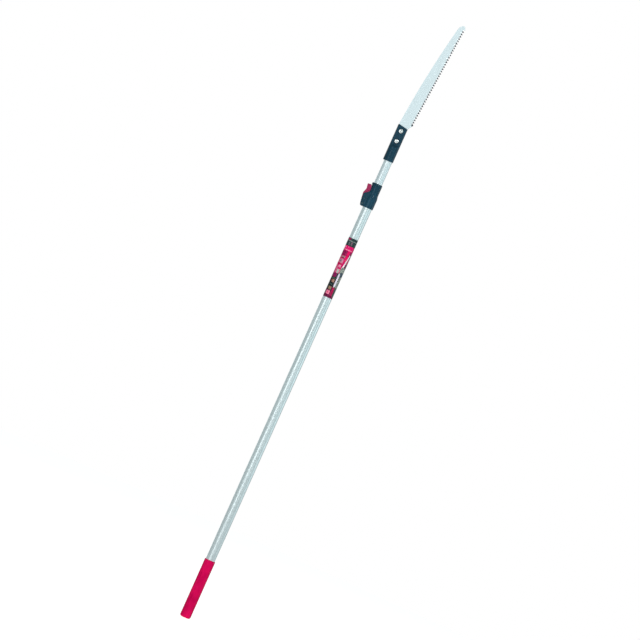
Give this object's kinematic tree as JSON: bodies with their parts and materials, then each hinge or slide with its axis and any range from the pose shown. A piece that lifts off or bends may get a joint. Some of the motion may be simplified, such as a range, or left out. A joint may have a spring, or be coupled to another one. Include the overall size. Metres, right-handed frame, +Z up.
{
  "type": "telescoping pole saw",
  "caption": "Two-stage telescoping aluminium pole with a soft grip, a flip-lever clamp and a curved-back pruning saw blade bolted into its top socket.",
  "frame": {"origin": "centre of the grip's flat end face, the butt of the pole", "axes": "+Z up the pole towards the blade's tip; +X the side the teeth are on, the clamp's lever is on -X; -Y the side of the two bolt heads"},
  "size_m": [0.071, 0.0303, 1.6924],
  "materials": {
    "tube_outer": "satin anodised",
    "tube_inner": "satin anodised",
    "grip_vinyl": "satin vinyl",
    "plug_nylon": "moulded",
    "label_film": null,
    "housing_nylon": "satin moulded nylon",
    "lever_nylon": "satin moulded nylon",
    "pin_steel": "plain",
    "zinc_steel": "zinc plated",
    "bolt_steel": "bright plated",
    "shoe_rubber": "moulded",
    "bush_plastic": "moulded",
    "blade_steel": "hard chromed, polished"
  },
  "bodies": {
    "pole": {"outer_tube": "tube_outer", "grip": "grip_vinyl", "end_plug": "plug_nylon", "label": "label_film", "clamp_housing": "housing_nylon", "pinch_screw": "zinc_steel", "pinch_nut": "zinc_steel", "lever_pin": "pin_steel"},
    "mast": {"guide_bush": "bush_plastic", "inner_tube": "tube_inner", "blade_socket": "housing_nylon", "socket_screw": "zinc_steel", "blade": "blade_steel", "blade_bolt_upper": "bolt_steel", "blade_bolt_lower": "bolt_steel", "spring_washer_upper": "zinc_steel", "spring_washer_lower": "zinc_steel", "blade_nut_upper": "zinc_steel", "blade_nut_lower": "zinc_steel"},
    "lever": {"clamp_lever": "lever_nylon"},
    "shoe": {"brake_shoe": "shoe_rubber"}
  },
  "joints": [
    {"name": "telescope", "type": "slide", "parent": "pole", "child": "mast", "axis": [0, 0, 1], "range_m": [0, 1]},
    {"name": "lever_hinge", "type": "hinge", "parent": "pole", "child": "lever", "pos_m": [-0.0182, 0, 1.18], "axis": [0, -1, 0], "range_deg": [0, 95]},
    {"name": "shoe_slide", "type": "slide", "parent": "pole", "child": "shoe", "axis": [-1, 0, 0], "range_m": [0, 0.0005]}
  ],
  "couplings": [
    {"joint": "shoe_slide", "follows": "lever_hinge", "m_per_rad": 0.00030155}
  ]
}
